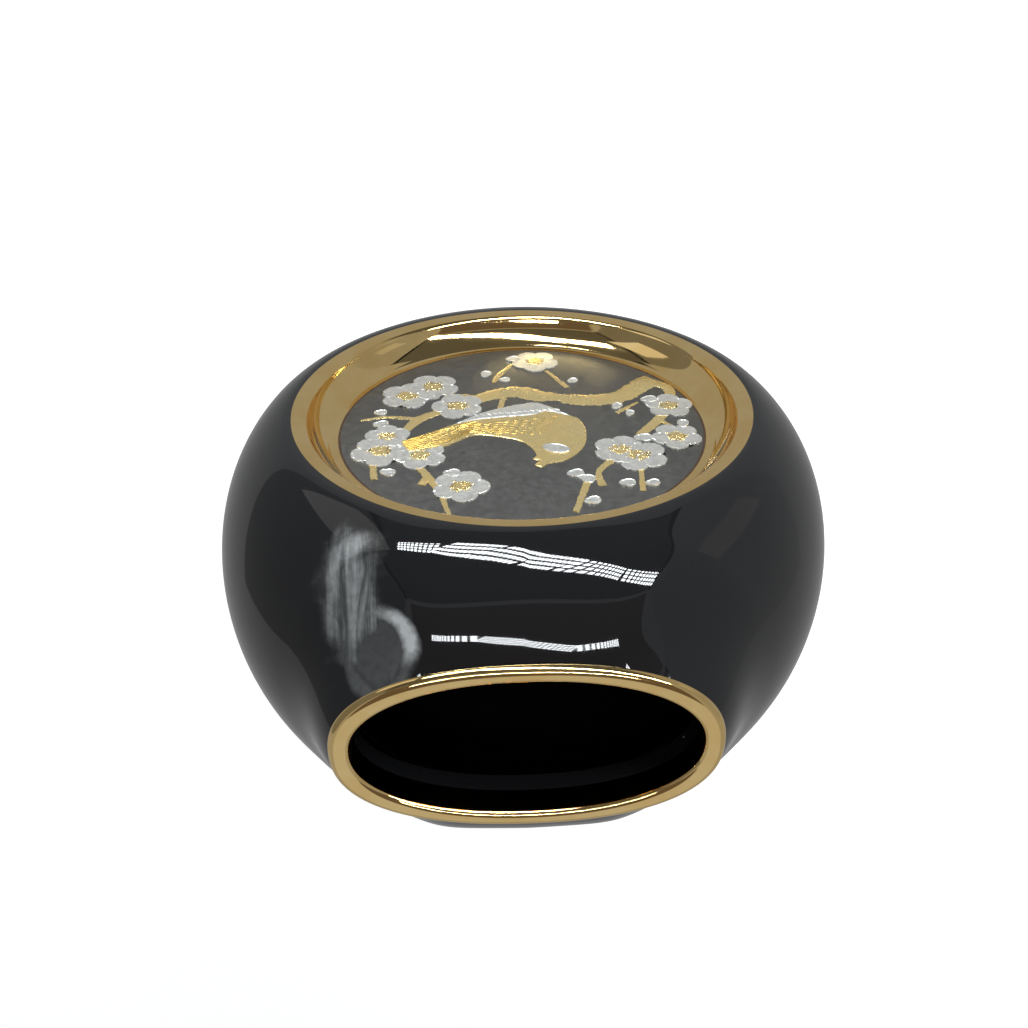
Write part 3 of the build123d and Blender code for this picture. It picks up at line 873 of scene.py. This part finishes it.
def add_dome(mesh, x, z, base, radius, rise):
    """Small round grain."""
    sides = 8
    loops = []
    for share, height in ((1.0, 0.0), (0.85, 0.6), (0.45, 0.95)):
        loops.append([
            mesh.verts.new(on_plaque(x + radius * share * math.cos(turn), z + radius * share * math.sin(turn),
                                     base + rise * height))
            for turn in [2 * math.pi * side / sides for side in range(sides)]
        ])
    add_loops(mesh, loops)


def add_flower(mesh, x, z, radius, turn, lobes=5, stretch=1.0, count=160):
    """Lobed, finely notched petals with a raised edge; one lobe pair makes a bud."""
    angles = np.linspace(0, 2 * math.pi, count, endpoint=False)
    lobe = np.abs(np.cos(lobes * angles / 2)) if lobes > 1 else np.ones(count)
    notch = np.array([random.uniform(0.93, 1.03) if step % 3 == 0 else 1.0 for step in range(count)])
    size = radius * (0.74 + 0.26 * lobe ** 0.55) * notch
    profile = [  # share of the radius, rise, how much the dip between petals lowers it
        (1.0, 0.0, 0.0), (1.0, PETAL_RISE, 0.0), (0.97, PETAL_RISE + 0.05, 0.0),
        (0.93, PETAL_RISE + 0.04, 0.0), (0.9, PETAL_RISE - 0.04, 0.02), (0.72, PETAL_RISE - 0.01, 0.05),
        (0.5, PETAL_RISE - 0.01, 0.06), (0.28, PETAL_RISE - 0.03, 0.03),
    ]
    spin = math.radians(turn)
    loops = []
    for share, rise, dip in profile:
        loop = []
        for angle, reach, crest in zip(angles, size, lobe):
            smooth = radius * 0.9 * (0.8 + 0.2 * crest)
            if share > 0.9:
                away = reach * share
            elif share < 0.6:
                away = smooth * share
            else:
                away = (reach + smooth) / 2 * share
            across = away * math.cos(angle)
            along = away * math.sin(angle) * stretch
            px = x + across * math.cos(spin) - along * math.sin(spin)
            pz = z + across * math.sin(spin) + along * math.cos(spin)
            loop.append(mesh.verts.new(on_plaque(px, pz, rise - dip * (1 - crest))))
        loops.append(loop)
    add_loops(mesh, loops)


def inside(points, outline):
    """Whether each point lies inside a closed outline."""
    x, z = np.asarray(points, float).T[..., None]
    (ax, az), (bx, bz) = np.asarray(outline).T, np.roll(outline, -1, 0).T
    level = np.where(bz == az, 1, bz - az)
    hits = ((az > z) != (bz > z)) & (x < ax + (z - az) / level * (bx - ax))
    return hits.sum(1) % 2 == 1


def bird_outline():
    back = smooth_line(BIRD_BACK, 0.4)
    beak = smooth_line([BIRD_BACK[-1]] + BIRD_BEAK, 0.25)
    breast = smooth_line([BIRD_BEAK[-1]] + BIRD_BREAST, 0.4)
    flank = smooth_line([BIRD_BREAST[-1]] + BIRD_FLANK, 0.4)
    return np.vstack([back, beak[1:-1], breast, flank[1:]])


def belly_outline():
    flank = smooth_line([BIRD_BREAST[-1]] + BIRD_FLANK[:5], 0.4)
    belly = smooth_line(BIRD_BELLY, 0.35)
    ragged = belly + np.array([[0, random.uniform(-0.12, 0.12)] for _ in belly])
    return np.vstack([flank[2:-1] + (0, -0.12), ragged[1:-3]])


def build_blossoms():
    petals, hearts, grains = bmesh.new(), bmesh.new(), bmesh.new()
    bird = bird_outline()
    for x, z, radius, turn in BLOSSOMS:
        add_flower(petals, x, z, radius, turn)
        angles = np.linspace(0, 2 * math.pi, 44, endpoint=False)
        reach = 0.36 * radius * np.array([random.uniform(0.8, 1.12) for _ in angles])
        heart = np.stack([x + reach * np.cos(angles), z + 0.86 * reach * np.sin(angles)], 1)
        heart = heart[~inside(heart, bird)]
        if len(heart) > 20:
            add_plate(hearts, heart, PETAL_RISE + 0.02, 0.05)
        for _ in range(GRAINS):
            angle = random.uniform(0, 2 * math.pi)
            away = radius * 0.46 * math.sqrt(random.uniform(0, 1))
            grain = (x + away * math.cos(angle), z + 0.86 * away * math.sin(angle))
            if not inside([grain], bird)[0]:
                add_dome(grains, *grain, PETAL_RISE - 0.04, random.uniform(0.09, 0.2), 0.12)
    buds = bmesh.new()
    for x, z, radius, turn in BUDS:
        add_flower(buds, x, z, radius, turn, 3, 0.75, 48)
    finish_piece(petals, "blossoms", silver_plate, ["blossom_silvering"])
    finish_piece(buds, "buds", silver_plate, ["bud_silvering"])
    finish_piece(hearts, "blossom_hearts", gold_plate, ["stamen_gilding"])
    finish_piece(grains, "stamens", gold_bright)


def build_branches():
    branches = bmesh.new()
    add_stroke(branches, MAIN_BRANCH, BRANCH_RISE, 0.28, 0.45)
    for points in TWIGS:
        add_stroke(branches, points, BRANCH_RISE, 0.1)
    finish_piece(branches, "branches", gold_plate, ["branch_gilding"])


def build_bird():
    bird, belly, lines, glints = bmesh.new(), bmesh.new(), bmesh.new(), bmesh.new()
    add_relief(bird, bird_outline(), bird_height)
    add_relief(belly, belly_outline(), belly_height)
    add_flower(belly, *CHEEK[:3], CHEEK[4], 1, CHEEK[3] / CHEEK[2], 60)
    for vertex in belly.verts:
        if vertex.co.z > (AXIS_HEIGHT + 4) * MM:
            vertex.co.y -= (LINE_RISE - PETAL_RISE) * MM
    for number in range(TAIL_LINES):
        share = number / (TAIL_LINES - 1)
        start = (9.0 + 1.4 * share, -3.0 + 4.4 * share)
        bend = (15.4 - 0.2 * share, -0.2 + 5.4 * share)
        end = (22.9 - 1.4 * share, 4.2 + 3.3 * share)
        add_stroke(lines, [(*start, 0.12), (*bend, 0.26), (*end, 0.16)], LINE_RISE, 0.02)
    for row in range(FEATHER_ROWS):
        along = row / (FEATHER_ROWS - 1)
        low = Vector((-6.4 + 15.5 * along, -4.6 + 2.2 * along))
        high = Vector((-2.6 + 12.6 * along, 3.2 - 1.6 * along))
        marks = 7 - row // 3
        for mark in range(marks):
            share = (mark + 0.5 + 0.5 * (row % 2)) / (marks + 0.5)
            centre = low.lerp(high, share)
            length = 0.8 + 1.3 * along
            tilt = random.uniform(-0.12, 0.12)
            points = [(centre.x - length / 2, centre.y - 0.12 + tilt, 0.14), (centre.x, centre.y + 0.1, 0.3),
                      (centre.x + length / 2, centre.y + 0.16 * along - tilt, 0.14)]
            add_stroke(lines, points, LINE_RISE, 0.02, 0.3)
    for number in range(FRINGE_MARKS):
        share = (number + 0.5) / FRINGE_MARKS
        foot = Vector((-7.8 + 17.0 * share, -6.9 + 1.7 * share))
        mark = [(foot.x, foot.y, 0.14), (foot.x + 0.9, foot.y - 0.5, 0.1)]
        add_stroke(glints, mark, LINE_RISE - 0.02, 0.02)
    finish_piece(bird, "bird", gold_plate, ["bird_gilding"])
    finish_piece(belly, "bird_belly", silver_plate, ["bird_silvering"])
    finish_piece(lines, "bird_feathers", gold_bright)
    finish_piece(glints, "belly_feathers", silver_plate)


random.seed(RANDOM_SEED)
build_body()
build_mouth()
build_dish()
build_plaque()
build_glue_line()
build_blossoms()
build_branches()
build_bird()
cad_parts["plaque_adhesive"].data.materials.clear()
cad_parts["plaque_adhesive"].data.materials.append(glue)

# ---- camera, floor and light ----

CAMERA_PLACE = Vector((5.97, -126.43, 243.34)) * MM
CAMERA_AIM = Vector((1.54, 0, 49.84)) * MM
CAMERA_ROLL = math.radians(176.69)
CAMERA_LENS = 38.52
SENSOR_WIDTH = 36.0
ROOM_LIGHT = 0.36
STRIPS = [  # points along each strip of lamps, evenly spaced in its reflection, width, lamps in a row
    ([(128, -250, 64), (57, -250, 76), (25, -250, 103), (-8, -250, 146), (-40, -250, 170), (-110, -250, 205),
      (-330, -250, 276)], 52, 62),
    ([(128, -129, 340), (28, -128, 340), (-4, -108, 340), (-38, -92, 340), (-119, -99, 340)], 15, 48),
]
STRIP_ROWS = 4
LAMP_SHARE = 0.32   # half of a lamp's side as a share of the spacing
STRIP_GLOW = 46.0
PANELS = {  # corners and glow of each wall of the light tent that shows in the glaze and the gold
    "tent_front": ([(118, -256, -50), (-148, -256, -20), (-354, -256, 328), (300, -256, 312)],
                   (0.10, 0.10, 0.10)),
    "tent_top": ([(300, -256, 338), (-354, -256, 346), (-230, 90, 384), (230, 90, 384)],
                 (0.13, 0.105, 0.09)),
    "tent_left": ([(120, -256, -50), (302, -256, 312), (300, 110, 320), (290, 90, -40)],
                  (0.18, 0.18, 0.18)),
    "tent_right": ([(-150, -256, -20), (-356, -256, 328), (-340, 110, 320), (-330, 90, -30)],
                   (0.32, 0.32, 0.32)),
    "tent_rear": ([(-220, 104, 384), (220, 104, 384), (220, 420, 370), (-220, 420, 370)],
                  (0.5, 0.5, 0.5)),
    "opening_right": ([(112, -178, 12), (160, -117, 12), (160, -117, 84), (112, -178, 92)],
                      (0.72, 0.70, 0.68)),
    "opening_left": ([(-172, -114, 50), (-180, -72, 44), (-180, -72, 96), (-170, -114, 108)],
                     (0.45, 0.44, 0.43)),
}
SEAMS = [  # ends and radius of each dark rod along the tent's edges
    ((118, -250, -50), (298, -250, 312), 5.0),
    ((-148, -250, -20), (-350, -250, 328), 5.0),
]


def hide(piece, *kinds):
    """Keeps a piece from kinds of rays."""
    for kind in kinds:
        setattr(piece, f"visible_{kind}", False)


def make_camera():
    data = bpy.data.cameras.new("camera")
    data.lens = CAMERA_LENS
    data.sensor_width = SENSOR_WIDTH
    data.clip_start = 0.01
    camera = bpy.data.objects.new("camera", data)
    bpy.context.scene.collection.objects.link(camera)
    upright = (CAMERA_AIM - CAMERA_PLACE).to_track_quat("-Z", "Y").to_matrix()
    turned = upright @ Matrix.Rotation(CAMERA_ROLL, 3, "Z")
    camera.matrix_world = Matrix.Translation(CAMERA_PLACE) @ turned.to_4x4()
    bpy.context.scene.camera = camera


def make_floor_plane():
    mesh = bmesh.new()
    bmesh.ops.create_grid(mesh, x_segments=8, y_segments=8, size=4)
    floor = place("floor", mesh, make_floor())
    hide(floor, "glossy")


def glowing(name, colour, strength):
    """Plain light-giving material for the surroundings."""
    material = bpy.data.materials.new(name)
    material.use_nodes = True
    nodes = material.node_tree.nodes
    nodes.clear()
    output = nodes.new("ShaderNodeOutputMaterial")
    glow = nodes.new("ShaderNodeEmission")
    glow.inputs["Color"].default_value = (*colour, 1)
    glow.inputs["Strength"].default_value = strength
    material.node_tree.links.new(glow.outputs[0], output.inputs[0])
    return material


def staged(name, mesh, material):
    """A piece of the surroundings that shows only in reflections and as light."""
    piece = place(name, mesh, material)
    hide(piece, "camera")
    return piece


def make_strips():
    """Strips of small square lamps that give the glaze its dotted highlights."""
    lamp = glowing("lamp", (0.93, 0.97, 1.0), STRIP_GLOW)
    for number, (points, width, lamps) in enumerate(STRIPS):
        points = [Vector(point) for point in points]
        facing = (Vector((0, 0, AXIS_HEIGHT)) - points[len(points) // 2]).normalized()
        mesh = bmesh.new()
        for step in range(lamps):
            spot = (step + 0.5) / lamps * (len(points) - 1)
            start, end = points[int(spot)], points[int(spot) + 1]
            along = (end - start) * (len(points) - 1) / lamps
            across = facing.cross(along.normalized()).normalized() * width / STRIP_ROWS
            for row in range(STRIP_ROWS):
                middle = start.lerp(end, spot % 1) + across * (row + 0.5 - STRIP_ROWS / 2)
                corners = [middle + (along * a + across * b) * LAMP_SHARE
                           for a, b in ((-1, -1), (1, -1), (1, 1), (-1, 1))]
                mesh.faces.new([mesh.verts.new(corner * MM) for corner in corners])
        staged(f"lamp_strip_{number}", mesh, lamp)


def make_tent():
    """Walls of the light tent and the dark seams between them, as they show in the glaze."""
    for name, (corners, glow) in PANELS.items():
        mesh = bmesh.new()
        mesh.faces.new([mesh.verts.new(Vector(corner) * MM) for corner in corners])
        hide(staged(name, mesh, glowing(name, glow, 1.0)), "diffuse", "shadow")
    dark = glowing("seam", (0, 0, 0), 0)
    for number, (start, end, radius) in enumerate(SEAMS):
        run = Vector(end) - Vector(start)
        middle = (Vector(start) + Vector(end)) / 2
        turn = Matrix.Translation(middle * MM) @ run.to_track_quat("Z", "Y").to_matrix().to_4x4()
        mesh = bmesh.new()
        bmesh.ops.create_cone(mesh, cap_ends=True, segments=12, radius1=radius * MM, radius2=radius * MM,
                              depth=run.length * MM, matrix=turn)
        hide(staged(f"seam_{number}", mesh, dark), "diffuse", "shadow")


def make_room():
    """Even soft light from every side, and a white backdrop that only the camera sees."""
    world = bpy.data.worlds.new("room")
    bpy.context.scene.world = world
    world.use_nodes = True
    background = world.node_tree.nodes["Background"]
    background.inputs["Color"].default_value = (1, 1, 1, 1)
    background.inputs["Strength"].default_value = ROOM_LIGHT
    mesh = bmesh.new()
    bmesh.ops.create_icosphere(mesh, subdivisions=4, radius=5)
    backdrop = place("backdrop", mesh, glowing("backdrop_white", (1, 1, 1), 1.0))
    hide(backdrop, "diffuse", "glossy", "transmission", "volume_scatter", "shadow")
    bpy.context.scene.view_settings.view_transform = "Standard"


make_camera()
make_floor_plane()
make_strips()
make_tent()
make_room()
